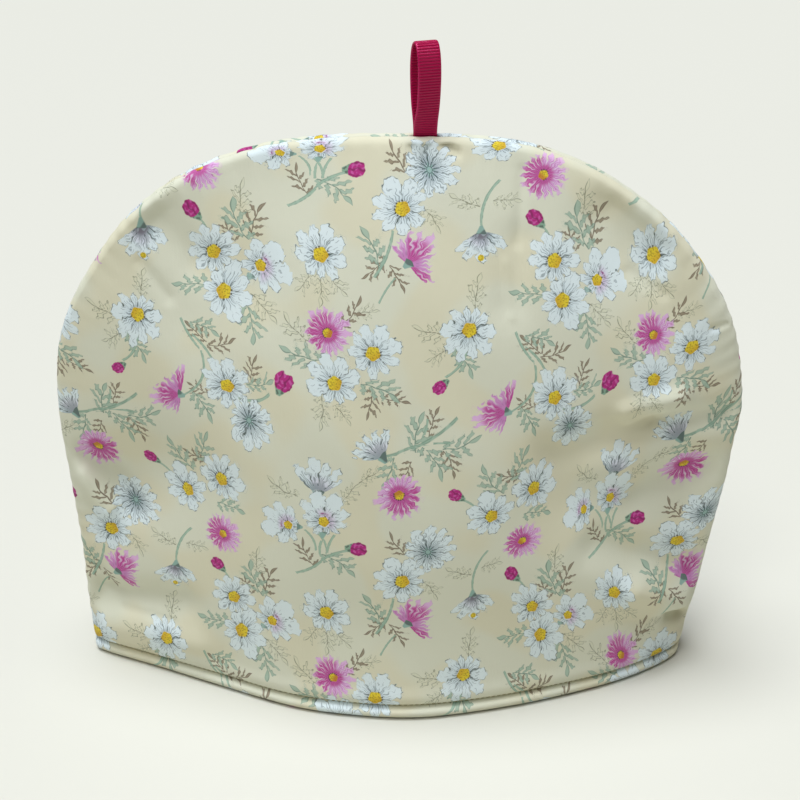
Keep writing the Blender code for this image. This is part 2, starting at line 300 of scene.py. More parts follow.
GREEN_SPRIGS = table(Motif, 1, (
    # across, up, size, turn, bend
    (-27, 247.0, 9.3, 125, 0.2),
    (-12, 224.0, 9.9, -25, -0.2),
    (-43.5, 176.0, 9.9, -75, 0.2),
    (28, 174.0, 8.1, 150, 0.1),
    (8, 144.0, 9.9, 10, 0.2),
    (27, 138.0, 9.9, 75, -0.2),
    (15, 130.0, 9.3, 150, 0.2),
    (-5, 125.0, 8.1, 200, 0.1),
    (78, 230.0, 11.0, -15, 0.2),
    (55, 202.0, 8.7, -85, 0.1),
    (83, 186.0, 8.7, 170, 0.2),
    (61.5, 182.0, 7.5, 110, 0.1),
    (86, 160.0, 7.5, 70, -0.2),
    (58, 145.5, 8.1, 150, 0.1),
    (41, 120.5, 9.3, -35, 0.2),
    (55, 127.0, 8.7, 30, -0.1),
    (67, 100.0, 8.1, 100, 0.1),
    (-8, 162.0, 9.3, 115, 0.2),
))
BROWN_SPRIGS = table(Motif, 1, (
    # across, up, size, turn, bend
    (-42.5, 251.5, 7.7, -20, 0.2),
    (-1, 258.5, 7.7, -35, 0.2),
    (-11, 214.5, 7.2, -130, 0.1),
    (-1.5, 211.0, 7.7, 150, 0.1),
    (-20.5, 196.0, 8.2, 35, -0.2),
    (-13, 156.0, 7.2, 190, 0.1),
    (-2, 158.0, 7.2, 100, 0.1),
    (14.5, 149.0, 7.2, 20, 0.1),
    (22, 129.0, 7.2, 160, 0.2),
    (2, 125.0, 6.6, 210, 0.1),
    (86, 231.0, 9.4, 20, 0.2),
    (74, 225.0, 6.1, -20, 0.1),
    (57, 180.0, 7.2, -50, 0.1),
    (69, 176.0, 7.7, 70, -0.2),
    (83, 167.0, 7.2, 15, 0.1),
    (55.5, 154.5, 5.5, -60, 0.1),
    (50, 121.5, 7.2, -80, 0.1),
))
LINE_SPRIGS = table(Motif, 1, (
    # across, up, size, turn, bend
    (-34, 205.0, 8.0, 180, 0.1),
    (-41, 207.0, 6.4, 220, 0.1),
    (-26.5, 207.0, 6.4, 140, -0.1),
    (14, 235.0, 6.9, 150, 0.1),
    (-45, 187.0, 8.5, -45, 0.2),
    (33, 204.5, 8.0, 10, 0.1),
    (13, 188.0, 8.5, -75, 0.1),
    (16, 178.0, 6.4, -120, 0.1),
    (-34, 151.0, 8.0, 185, 0.1),
    (-25, 151.5, 6.4, 140, 0.1),
    (-53.5, 115.0, 8.5, -60, 0.2),
    (-21.5, 116.0, 6.9, 40, 0.1),
    (-12, 124.5, 6.9, 60, 0.1),
    (80, 241.0, 8.5, 5, 0.1),
    (89, 193.0, 8.0, 130, 0.1),
    (27, 243.0, 7.4, -65, 0.1),
    (46, 242.0, 6.4, 95, 0.1),
    (-14, 196.0, 5.8, 80, 0.1),
))

# Stems run from one point to another, bowed to the right of that direction by the sag
Stem = namedtuple("Stem", "across0 up0 across1 up1 sag width")
STEMS = table(Stem, 1, (
    # across0, up0, across1, up1, sag, width
    (-48, 239, -33, 251, 1.5, 1.5),
    (-38, 246, -22, 255, -1.5, 1.4),
    (-33, 251, -38, 263, 2.0, 1.2),
    (-33, 250, -29, 262, -1.0, 1.3),
    (-3, 231, -11, 211, -1.5, 1.4),
    (-2, 211, -9, 200, 0.5, 0.9),
    (34.5, 232, 42.5, 251, -2.5, 1.4),
    (29, 181, 19.5, 168, -2.0, 1.3),
    (-8, 133, 25, 150, 3.0, 1.6),
    (-6, 132, 22, 139, -2.5, 1.4),
    (8, 139, 12, 150, 1.0, 1.1),
    (49, 151, 59, 172, 5.0, 1.3),
    (59, 172, 50, 186, -1.0, 1.2),
    (53, 180, 65, 166, -1.5, 1.2),
    (74, 150.5, 90, 156, 2.5, 1.6),
    (77, 149.5, 79, 143, 0.5, 1.3),
    (27.5, 112.5, 34, 108, -0.5, 1.1),
    (60, 231, 64, 226, -0.4, 1.0),
    (-34, 93.5, -36, 84, 1.0, 1.4),
    (-43, 96, -38, 86, -1.5, 1.2),
))

# Each drawing below is a list of formulas in a motif's own coordinates: x to its right,
# y up it, both in units of its size, and code, whose whole part is the kind of motif and
# whose fraction is its own luck. A name like petals is how much of that ink lies there.
# A full turn is 6.2832, and its multiples set how often something comes round.
FLOWER_DRAWING = """
kind = floor(code)
seed = fract(code)
tilted = (kind > 0.5)*(kind < 1.5)
back = (kind > 1.5)*(kind < 2.5)
cosmos = (kind > 2.5)*(kind < 3.5)
fan = kind > 3.5
pinkfan = (kind > 4.5)*(kind < 5.5)
bell = kind > 5.5
pink = cosmos + pinkfan
white = 1 - pink
hand = cloud(x + 7*seed, y, 2.7) - 0.5
shake = cloud(x, y + 9*seed, 6.5) - 0.5
r = sqrt(x*x + y*y)*(1 + 0.12*hand)
turn = atan2(x, y)/6.2832
sway = turn + 0.022*sin(12.566*turn + 31*seed) + 0.035*shake
count = 8 + floor(2.9*seed) + 3*back + 7*pink + 6*fan
place = sway*count + 40 + 7*seed
petal = mod(floor(place), count)
k = fract(place) - 0.5
luck = chance(petal + 0.5, 90*seed)
side = 2*abs(k)
lean = cos(6.2832*turn)*(0.13 + 0.27*tilted - 0.13*fan - 0.08*cosmos)
lobes = pinkfan*0.22*cos(18.85*turn + 0.9)
narrow = 0.150 + 0.03*bell + 0.10*pinkfan
window = 1 - fan*soft(abs(turn + 0.015*sin(40*seed)), narrow - 0.01, narrow + 0.05)
tooth = abs(fract(place*3 + luck) - 0.5)
blunt = 1 - (0.33 + 0.06*pink)*side**(2.3 - 0.5*pink)
tip = (0.80 + 0.20*luck + lean + lobes)*blunt*window + (0.10 + 0.05*pink)*(tooth - 0.25)
petals = soft(tip - r, -0.012, 0.012)
gap = (0.5 - abs(k))*6.2832*r/count
inner = soft(tip - r, 0.014, 0.034)*soft(gap, 0.005, 0.022)
broken = soft(cloud(x, y, 5), 0.36, 0.50)
rim = petals*(1 - inner)*(r > 0.24)*(0.25 + 0.75*broken)*(1 - 0.75*pink)
strand = place*(4 - pink)
stroke = abs(fract(strand) - 0.5)*6.2832*r/(count*(4 - pink))
far = 0.30 + 0.42*chance(floor(strand), 50*seed + 3) + 0.16*back
dash = (1 - soft(stroke, 0.006, 0.018))*(1 - soft(r, far - 0.04, far))
fleck = (1 - soft(stroke, 0.006, 0.016))*(r > far + 0.12)*(r < far + 0.26)
streak = petals*min(dash + 0.8*fleck, 1)*(r > 0.25 - 0.1*back - 0.2*fan)*white
shade = petals*(0.2 + 0.8*luck)*(1 - soft(r, 0.15, 0.7))*white
way = x*cos(6.2832*seed) + y*sin(6.2832*seed)
mauve = petals*pink
strong = pinkfan*(1 - soft(r, 0.60, 0.92))*soft(cos(18.85*turn + 0.9), -0.7, 0.1)
bold = cosmos*(1 - soft(r, 0.60, 0.90))*soft(way, -0.05, 0.15)
star_rays = cosmos*(1 - soft(r, 0.30, 0.48))
band = abs(fract(place*2 + luck) - 0.5)
magenta = petals*max(max(strong, bold), star_rays)*soft(band, 0.03, 0.15)
ray = petals*pink*(1 - soft(stroke, 0.010, 0.030))*(1 - soft(r, far + 0.1, far + 0.35))
pale = petals*pink*(1 - soft(gap, 0.004, 0.035))*soft(r, 0.3, 0.5)
blush = petals*(tilted + 0.5*fan*white)*(1 - soft(r, 0.25, 0.62))*soft(y + x, -0.1, 0.2)
spot_y = y - 0.80*bell
spot_r = sqrt(x*x + spot_y*spot_y)
spot_size = (0.240 - 0.04*tilted - 0.06*cosmos)*(1 - back)*(1 - fan) + 0.10*bell
disc = soft(spot_size*(1 + 0.07*sin(31.416*turn)) - spot_r, -0.014, 0.014)
ochre = disc*soft(x - y, -0.16, 0.24)
rust = disc*cosmos*soft(x - y, -0.10, 0.12)
grain = disc*soft(cloud(x, y, 17), 0.54, 0.62)
open = (1 - back)*(1 - fan)
dot_k = (fract(turn*15) - 0.5)*0.42*r
dot_r = sqrt(dot_k*dot_k + (r - spot_size - 0.015)**2)
dots = open*(1 - soft(dot_r, 0.020, 0.042))*(chance(floor(turn*15), seed) > 0.35)*(y > 0.4*x - 0.1)
arc_r = abs(spot_r - 0.33)
arc = tilted*(1 - soft(arc_r, 0.020, 0.045))*soft(y - 1.6*abs(x), 0.0, 0.05)*(0.4 + 0.6*broken)
star = back*soft(0.15 + 0.05*cos(43.98*turn) - r, -0.03, 0.03)
tick_k = abs(fract(turn*13) - 0.5)*0.483*r
ticks = back*(1 - soft(tick_k, 0.010, 0.026))*(r > 0.08)*(r < 0.22 + 0.16*chance(floor(turn*13), seed))
cup_y = y + 0.50*tilted
cup = soft(0.05 + 0.48*(cup_y + 0.17) - abs(x), -0.02, 0.02)*(cup_y > -0.18)*(cup_y < 0.08 + 0.2*hand)
calyx = (fan + tilted)*cup
teeth = (fan + 0.6*tilted)*cup*soft(cup_y + 0.6*hand, -0.02, 0.05)
smudge = bell*petals*(1 - soft(r, 0.16, 0.30))*soft(shake, -0.06, 0.02)
"""
BUD_DRAWING = """
heart = code > 1
seed = fract(code)
lobe_x = (abs(x) - 0.27*heart)/(0.66 - 0.16*heart)
lobe_y = (y - 0.18 - 0.2*heart*abs(x))/(0.74 + 0.04*heart)
lobe = sqrt(lobe_x*lobe_x + lobe_y*lobe_y) + 0.24*(cloud(x, y, 3.2 + seed) - 0.5)
bud = soft(1 - lobe, -0.06, 0.06)
fold_line = abs(fract(x*1.9 + 0.8*cloud(x, y, 2) + seed) - 0.5)
vein = bud*(1 - soft(fold_line, 0.03, 0.22))
glow = bud*soft(cloud(x, y, 3.4), 0.52, 0.64)
cup_side = 0.20 + 0.50*(y + 1.0) - abs(x)
cup = soft(cup_side, -0.06, 0.06)*soft(y, -1.12, -1.0)*soft(-0.20 + 0.12*cos(14*x) - y, -0.05, 0.05)
cup_dark = cup*soft(cloud(x, y, 3.8) + 0.3*abs(x), 0.52, 0.64)
"""
SPRIG_DRAWING = """
seed = fract(code)
hand = cloud(x + 5*seed, y, 1.9) - 0.5
t = 0.5*y + 0.5 + 0.05*hand
out = abs(x + 0.16*hand)
right = x > 0
rise = t - (0.62 - 0.16*right)*out + 0.26*out*out + 0.10*right
node = floor(rise*4.4)
f = rise - node*0.2273 - 0.1136
fate = chance(node + 10*right + 0.5, 70*seed)
reach = (0.66 - 0.62*abs(node*0.2273 - 0.25))*(0.62 + 0.55*fate)
s = out/reach
lobed = 0.80 + 0.32*cos(15*s + 6*fate)
lens = width*(0.25 + 3.4*s)*max(1.04 - s, 0)*lobed
there = (node > -0.5)*(node < 2.9)*(s < 1.03)
near = abs(f - 0.02*sin(5*s + 9*fate))
leaflet = soft(lens - near, -0.012, 0.012)*there
crown_s = (t - 0.66)/0.34
crown_lens = width*6.4*crown_s*(1 - crown_s)
crown = soft(crown_lens - out, -0.015, 0.015)*(t > 0.66)
stalk = soft(0.026 - out, -0.014, 0.014)*(t > 0.0)*(t < 0.8)
leaf = max(max(leaflet, crown), stalk)
hollow = max(soft(lens - near, 0.012, 0.030)*there, soft(crown_lens - out, 0.02, 0.06)*(t > 0.66))
edge = leaf*(1 - hollow)*(0.35 + 0.65*soft(cloud(x, y, 4), 0.34, 0.48))
"""
STEM_DRAWING = """
across = abs(x)
uneven = code*(0.85 + 0.5*(cloud(x, y, 3) - 0.5))
stem = soft(uneven - across, -0.02, 0.02)*(abs(y) < 1)
edge = stem*(1 - soft(uneven - across, 0.0, 0.05))*soft(cloud(x, y, 5), 0.36, 0.5)
"""


def smoothstep(t):
    """Rise from 0 to 1 with level ends."""
    t = np.clip(t, 0.0, 1.0)
    return t * t * (3.0 - 2.0 * t)


def smooth_path(points):
    """Read close points from the Catmull-Rom curve through the given ones."""
    ends = np.vstack([2 * points[0] - points[1], points, 2 * points[-1] - points[-2]])
    t = np.linspace(0.0, 1.0, STEPS_PER_SPAN, endpoint=False)[:, None]
    spans = []
    for i in range(len(points) - 1):
        a, b, c, d = ends[i:i + 4]
        spans.append(0.5 * (2 * b + (c - a) * t + (2 * a - 5 * b + 4 * c - d) * t**2
                            + (3 * b - a - 3 * c + d) * t**3))
    return np.vstack(spans + [points[-1:]])


def run_along(points):
    """Distance along a row of points from its first one."""
    steps = np.linalg.norm(np.diff(points, axis=0), axis=1)
    return np.concatenate([[0.0], np.cumsum(steps)])


EDGE = smooth_path(SEAM_EDGE)
EDGE[:, 1] = np.clip(EDGE[:, 1], 0.0, CREST_Z)
EDGE_RUN = run_along(EDGE)
EDGE_STEP = EDGE_RUN[-1] / (len(EDGE) - 1)
EDGE_TANGENT = np.gradient(EDGE, axis=0)
EDGE_TANGENT /= np.linalg.norm(EDGE_TANGENT, axis=1)[:, None]
CREST_INDEX = int(np.argmax(EDGE[:, 1]))
LEFT_EDGE = EDGE[:CREST_INDEX + 1]
RIGHT_EDGE = EDGE[CREST_INDEX:][::-1]


def edge_x(side_edge, z):
    """The sewn edge's x at a height, on one side."""
    return np.interp(z, side_edge[:, 1], side_edge[:, 0])


def edge_distance(x, z):
    """Distance to the sewn edge, and how far along it the nearest place is.

    The nearest sample of the edge is found first, and then the nearest point of the
    straight line through it.
    """
    points = np.column_stack([x.ravel(), z.ravel()])
    nearest = np.concatenate([
        ((part[:, None] - EDGE) ** 2).sum(axis=2).argmin(axis=1)
        for part in np.array_split(points, 40)
    ])
    away = points - EDGE[nearest]
    along = np.clip((away * EDGE_TANGENT[nearest]).sum(axis=1), -EDGE_STEP, EDGE_STEP)
    off = np.linalg.norm(away - along[:, None] * EDGE_TANGENT[nearest], axis=1)
    return off.reshape(x.shape), (EDGE_RUN[nearest] + along).reshape(x.shape)


def crown(x, z, skew):
    """The panel's bulge: a cosine across it, times a power of the height up it.

    skew draws the cosine in on the left and fills it out on the right.
    """
    half = np.where(x < 0.0, -edge_x(LEFT_EDGE, z), edge_x(RIGHT_EDGE, z))
    across = np.clip(np.abs(x) / np.maximum(half, 1e-6), 0.0, 1.0)
    left_power = 1.0 + LEFT_DRAW * skew * np.sin(np.pi * across)
    right_power = 1.0 - skew * across
    power = np.where(x < 0.0, left_power, right_power)
    rise = 1.0 - np.clip(z / CREST_Z, 0.0, 1.0) ** LEAN_POWER
    return (PANEL_DEPTH - 2.0 * ROLL_RADIUS) * rise * np.cos(0.5 * np.pi * across) ** power


def fold_relief(x, z, folds):
    """Sum the folds: each is a bell curve of the distance from the line that it runs along."""
    relief = np.zeros_like(x)
    for fold in folds:
        run_x, run_z = fold.x1 - fold.x0, fold.z1 - fold.z0
        along = ((x - fold.x0) * run_x + (z - fold.z0) * run_z) / (run_x**2 + run_z**2)
        along = np.clip(along, 0.0, 1.0)
        off = np.hypot(x - fold.x0 - along * run_x, z - fold.z0 - along * run_z)
        relief += fold.height * np.exp(-(off / fold.width) ** 2)
    return FOLD_GAIN * relief


def slow_relief(x, z, inset, folds, hollows):
    """The folds and hollows together, each fading out towards the sewn edge."""
    folded = fold_relief(x, z, folds) * smoothstep(inset / EDGE_FADE)
    return folded + fold_relief(x, z, hollows) * smoothstep(inset / HOLLOW_FADE)


def hem_relief(z):
    """The stitched groove, the cloth puffed below and above it, and the hem rounded under."""
    groove = HEM_STITCH_DEPTH * np.exp(-((z - HEM_STITCH_Z) / HEM_STITCH_WIDTH) ** 2)
    puff = HEM_PUFF * np.sin(np.pi * np.clip(z / HEM_STITCH_Z, 0.0, 1.0))
    puff += ABOVE_HEM_PUFF * np.exp(-((z - HEM_STITCH_Z - 0.005) / 0.004) ** 2)
    under = np.clip(1.0 - z / HEM_ROUND, 0.0, 1.0)
    return puff - groove - HEM_TUCK * (1.0 - np.sqrt(1.0 - under**2))


def pucker(run, inset, z):
    """Small gathers along the sewn edge: a sine of the run, its phase and height unsteady,
    that dies away from the edge and towards the hem."""
    phase = run / PUCKER_PITCH + 0.40 * np.sin(run / 0.031) + 0.25 * np.sin(run / 0.0127)
    height = 0.65 + 0.35 * np.sin(run / 0.043 + 1.0)
    wave = PUCKER_HEIGHT * height * np.sin(TAU * phase)
    return wave * np.exp(-inset / PUCKER_REACH) * smoothstep((z - 0.010) / 0.020)


def wadding_lumps(x, z, inset):
    """Slow unevenness of the wadding: three crossed sines of unlike lengths."""
    waves = (np.sin(x / 0.0120 + 1.3 * np.sin(z / 0.0310))
             + np.sin(z / 0.0105 + 1.1 * np.sin(x / 0.0270) + 2.0)
             + np.sin((x + z) / 0.0083 + 0.7))
    return WADDING_LUMP * waves / 1.7 * smoothstep(inset / 0.015)


def edge_samples(rows, columns):
    """Points and outward directions along the sewn edge: left side, arch, right side."""
    left = np.column_stack([edge_x(LEFT_EDGE, rows), rows])
    right = np.column_stack([edge_x(RIGHT_EDGE, rows), rows])
    arch = EDGE[EDGE[:, 1] >= SHOULDER_Z]
    arch = np.vstack([left[-1:], arch, right[-1:]])
    run = run_along(arch)
    at = columns * run[-1]
    arch = np.column_stack([np.interp(at, run, arch[:, k]) for k in range(2)])
    border = np.vstack([left[:-1], arch, right[:-1][::-1]])
    _, at_run = edge_distance(border[:, 0], border[:, 1])
    tangent = np.column_stack([np.interp(at_run, EDGE_RUN, EDGE_TANGENT[:, k]) for k in range(2)])
    outward = np.column_stack([-tangent[:, 1], tangent[:, 0]])
    outward[:, 1] *= smoothstep(border[:, 1] / UPRIGHT_EDGE_Z)
    return border, outward / np.linalg.norm(outward, axis=1)[:, None]


def coons_patch(border, rows, columns):
    """Fill the border with a grid: rows lie level over the hem and bend towards the arch."""
    last = len(rows) - 1
    left = border[:last + 1]
    top = border[last:last + len(columns)]
    right = border[last + len(columns) - 1:][::-1]
    u = columns[None, :, None]
    v = ((rows / rows[-1]) ** ARCH_POWER)[:, None, None]
    bottom = left[0] + (right[0] - left[0]) * columns[:, None]
    sides = (1 - u) * left[:, None] + u * right[:, None]
    ends = (1 - v) * bottom[None] + v * top[None]
    corners = (1 - v) * ((1 - u) * left[0] + u * right[0]) + v * ((1 - u) * left[-1] + u * right[-1])
    return sides + ends - corners


def cloth_coordinates(x, z, skew):
    """Millimetres across the cloth from its middle and up it from the hem.

    Both are summed along lines of a 1 mm grid over the smooth panel, whose slopes are
    limited, and read between the grid's points.
    """
    grid_x = np.arange(-0.160, 0.1605, MM)
    grid_z = np.arange(0.0, 0.2625, MM)
    depth = crown(*np.meshgrid(grid_x, grid_z), skew)
    rise_z, rise_x = np.gradient(depth, MM)
    across = np.cumsum(np.hypot(1.0, np.clip(rise_x, -1.2, 1.2)), axis=1)
    across -= across[:, [len(grid_x) // 2]]
    up = np.cumsum(np.hypot(1.0, np.clip(rise_z, -1.2, 1.2)), axis=0)
    up -= up[0]
    column = np.clip((x - grid_x[0]) / MM, 0.0, len(grid_x) - 1.001)
    row = np.clip(z / MM, 0.0, len(grid_z) - 1.001)
    j, i = column.astype(int), row.astype(int)
    fj, fi = column - j, row - i
    return np.stack([
        (summed[i, j] * (1 - fj) + summed[i, j + 1] * fj) * (1 - fi)
        + (summed[i + 1, j] * (1 - fj) + summed[i + 1, j + 1] * fj) * fi
        for summed in (across, up)
    ], axis=-1)


def ribbon_room(x, z):
    """How far the seam stands open from its plane where the ribbon's tails pass through."""
    beside = smoothstep((RIBBON_ROOM_WIDTH - np.abs(x - RIBBON_X)) / 0.002)
    return RIBBON_ROOM * beside * smoothstep((z - CREST_Z + RIBBON_TAIL + 0.003) / 0.002)


def outer_layers(border, outward, rows, columns, skew, folds, hollows, creases):
    """The outer face and the padded roll round it, as points and cloth coordinates.

    The roll goes round a circle from the patch to the crest, and on round an ellipse, as
    deep as the seam's groove, from the crest to the seam plane. The print runs on round it.
    """
    patch = coons_patch(border - outward * ROLL_RADIUS, rows, columns)
    x, z = patch[..., 0], patch[..., 1]
    inset, run = edge_distance(x, z)
    relief = slow_relief(x, z, inset, folds, hollows) + wadding_lumps(x, z, inset)
    relief += fold_relief(x, z, creases) + pucker(run, inset, z)
    y = 2.0 * ROLL_RADIUS + crown(x, z, skew) + relief + hem_relief(z)
    layers = [np.column_stack([x.ravel(), y.ravel(), z.ravel()])]
    cloth = [cloth_coordinates(x, z, skew).reshape(-1, 2)]

    foot = border - outward * ROLL_RADIUS
    foot_inset, foot_run = edge_distance(foot[:, 0], foot[:, 1])
    gather = pucker(foot_run, foot_inset, foot[:, 1])
    foot_cloth = cloth_coordinates(foot[:, 0], foot[:, 1], skew)
    for angle in np.linspace(0.0, np.pi, ROLL_STEPS + 1)[1:]:
        reach = ROLL_RADIUS if angle < 0.5 * np.pi else SEAM_GROOVE
        fade = np.sin(angle)[None]
        ring = border + outward * (gather[:, None] * fade - reach * (1.0 - np.sin(angle)))
        x, z = ring[:, 0], ring[:, 1]
        swell = crown(x, z, skew) * max(np.cos(angle), 0.0) + hem_relief(z) * np.cos(0.5 * angle)
        y = ROLL_RADIUS * (1.0 + np.cos(angle)) + swell + gather * max(np.cos(angle), 0.0)
        y = np.maximum(y, 0.5 * NEIGHBOUR_GAP + ribbon_room(x, z))
        layers.append(np.column_stack([x, y, z]))
        cloth.append(foot_cloth + outward * (ROLL_RADIUS * angle / MM))
    return layers, cloth


def inner_layer(border, outward, rows, columns, skew, folds, hollows):
    """The inner face: the outer one less the wall, drawn to the seam plane at its border."""
    patch = coons_patch(border - outward * INNER_INSET, rows, columns)
    x, z = patch[..., 0], patch[..., 1]
    inset, _ = edge_distance(x, z)
    outer = 2.0 * ROLL_RADIUS + crown(x, z, skew) + slow_relief(x, z, inset, folds, hollows)
    rise_z, rise_x = np.gradient(outer)
    run_z = np.linalg.norm(np.gradient(patch, axis=0), axis=-1)
    run_x = np.linalg.norm(np.gradient(patch, axis=1), axis=-1)
    wall = WALL * np.sqrt(1.0 + (rise_x / run_x) ** 2 + (rise_z / run_z) ** 2)
    wall += 0.6 * hem_relief(z)
    away = smoothstep((inset - INNER_INSET) / INNER_BLEND)
    away[:, [0, -1]] = 0.0
    away[-1] = 0.0
    seam_plane = 0.5 * NEIGHBOUR_GAP
    y = seam_plane + np.maximum(outer - wall - seam_plane, 0.0) * away
    y = np.maximum(y, seam_plane + ribbon_room(x, z))
    under = -WALL / MM * (z < 1e-6)
    cloth = cloth_coordinates(x, z, skew) + np.stack([np.zeros_like(under), under], axis=-1)
    return np.column_stack([x.ravel(), y.ravel(), z.ravel()]), cloth.reshape(-1, 2)


def border_indices(row_count, column_count):
    """Grid indices along the left side, the top and the right side."""
    grid = np.arange(row_count * column_count).reshape(row_count, column_count)
    return np.concatenate([grid[:-1, 0], grid[-1, :], grid[:-1, -1][::-1]])


def strip_faces(one, other):
    """Quads between two matching rows of vertex indices."""
    return np.column_stack([one[:-1], one[1:], other[1:], other[:-1]]).tolist()


def grid_faces(start, row_count, column_count):
    """Quads of a grid whose first vertex has the given index."""
    index = start + np.arange(row_count * column_count).reshape(row_count, column_count)
    corners = (index[:-1, :-1], index[:-1, 1:], index[1:, 1:], index[1:, :-1])
    return np.stack(corners, axis=-1).reshape(-1, 4).tolist()


def fan_faces(fine, coarse):
    """Join a fine row of indices to one with a vertex for every few of its own.

    Each edge of the fine row runs to the nearest vertices of the coarse one: a triangle
    where that is one vertex, and a quad where it steps to the next.
    """
    near = coarse[(np.arange(len(fine)) + INNER_STEP // 2) // INNER_STEP]
    quads = np.column_stack([fine[:-1], fine[1:], near[1:], near[:-1]])
    steps = near[1:] != near[:-1]
    return quads[steps].tolist() + quads[~steps, :3].tolist()


def new_piece(name, points, faces, materials):
    """Make a smooth mesh object that rides on the cosy's one body."""
    mesh = bpy.data.meshes.new(name)
    mesh.from_pydata(points.tolist(), [], faces)
    for material in materials:
        mesh.materials.append(material)
    mesh.shade_smooth()
    piece = bpy.data.objects.new(name, mesh)
    bpy.context.scene.collection.objects.link(piece)
    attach(piece, "root")
    return piece


def store_places(mesh, name, domain, places):
    """Keep a place for each point or face corner in an attribute that the materials read."""
    store = mesh.attributes.new(name, "FLOAT_VECTOR", domain)
    store.data.foreach_set("vector", places.astype(np.float32).ravel())


def drifted(cloth, eases):
    """Print coordinates of places on the cloth: those less the drift of the eased areas."""
    across, up = cloth[:, 0], cloth[:, 1]
    print_at = cloth.copy()
    for ease in eases:
        off_across, off_up = (across - ease.across) / ease.width, (up - ease.up) / ease.height
        bell = np.exp(-off_across**2 - off_up**2)
        print_at[:, 0] -= ease.shift_across * bell
        print_at[:, 1] -= ease.shift_up * bell
    return print_at


def stem_motif(stem):
    """A stem as a motif: its chord stands upright, bend is the sag and kind half the width,
    both over half the chord."""
    run = np.array([stem.across1 - stem.across0, stem.up1 - stem.up0])
    half = 0.5 * np.linalg.norm(run)
    turn = np.degrees(np.arctan2(run[0], run[1]))
    return Motif(0.5 * (stem.across0 + stem.across1), 0.5 * (stem.up0 + stem.up1),
                 half, turn, stem.sag / half, kind=0.5 * stem.width / half)


def motif_coordinates(motifs, slimness, bowed, print_at, corner_faces, face_count):
    """For each face corner, its place in the nearest motif: x, y and the motif's code.

    Every repeat of every motif is tried. The nearest is the one whose larger of y and
    slimness times x is least. Faces outside all motifs get a place far from any drawing.
    """
    sums = np.column_stack([np.bincount(corner_faces, print_at[:, k], face_count) for k in range(2)])
    middle = sums / np.bincount(corner_faces, minlength=face_count)[:, None]
    middle_x, middle_y = middle.T.copy()
    best = np.full(face_count, 1.45)
    chosen = np.full(face_count, -1)
    placed = []
    for motif in motifs:
        turn = np.radians(motif.turn)
        axes = np.array([[np.cos(turn), -np.sin(turn)], [np.sin(turn), np.cos(turn)]]) / motif.size
        seed = 0.05 + 0.9 * ((motif.across * 0.137 + motif.up * 0.0731) % 1.0)
        code = motif.kind if bowed else motif.kind + seed
        for i in range(-2, 3):
            for j in range(-1, 3):
                at = np.array([motif.across + i * REPEAT_ACROSS, motif.up + j * REPEAT_UP])
                in_reach = np.abs(middle_x - at[0]) < 1.7 * motif.size
                in_reach &= np.abs(middle_y - at[1]) < 1.7 * motif.size
                near = np.flatnonzero(in_reach)
                if not len(near):
                    continue
                x, y = axis_places(middle[near] - at, axes, motif.bend, bowed)
                nearness = np.maximum(np.abs(y), slimness * np.abs(x))
                closer = near[nearness < best[near]]
                best[closer] = nearness[nearness < best[near]]
                chosen[closer] = len(placed)
                placed.append((at, axes, motif.bend, code))
    places = np.full((len(corner_faces), 3), 9.0)
    corner_choice = chosen[corner_faces]
    by_choice = np.argsort(corner_choice, kind="stable")
    numbers, starts = np.unique(corner_choice[by_choice], return_index=True)
    for number, mine in zip(numbers, np.split(by_choice, starts[1:])):
        if number < 0:
            continue
        at, axes, bend, code = placed[number]
        x, y = axis_places(print_at[mine] - at, axes, bend, bowed)
        places[mine] = np.column_stack([x, y, np.full(len(mine), code)])
    return places


def axis_places(offset, axes, bend, bowed):
    """x and y along a motif's axes, with x taken from its curved middle line."""
    x, y = axes @ offset.T
    curve = bend * (1.0 - y**2) if bowed else bend * (y**2 - 0.4)
    return x - curve, y


def print_layers(piece, cloth, eases, shift):
    """Store on the face corners where each one lies in each layer of the print."""
    mesh = piece.data
    corner_vertices = np.zeros(len(mesh.loops), int)
    mesh.loops.foreach_get("vertex_index", corner_vertices)
    totals = np.zeros(len(mesh.polygons), int)
    mesh.polygons.foreach_get("loop_total", totals)
    corner_faces = np.repeat(np.arange(len(totals)), totals)
    print_at = (drifted(cloth, eases) + shift)[corner_vertices]
    for name, motifs, slimness, bowed in PRINT_MOTIFS:
        places = motif_coordinates(motifs, slimness, bowed, print_at, corner_faces, len(totals))
        store_places(mesh, name, "CORNER", places)
    store_places(mesh, "cloth", "POINT", np.column_stack([cloth, np.zeros(len(cloth))]))


PRINT_MOTIFS = (
    # attribute, motifs, slimness, bowed
    ("line_sprig", LINE_SPRIGS, 1.3, False),
    ("brown_sprig", BROWN_SPRIGS, 1.3, False),
    ("green_sprig", GREEN_SPRIGS, 1.3, False),
    ("stem", tuple(stem_motif(stem) for stem in STEMS), 4.0, True),
    ("low_flower", LOW_FLOWERS, 1.0, False),
    ("high_flower", HIGH_FLOWERS, 1.0, False),
    ("bud", BUDS, 1.0, False),
)


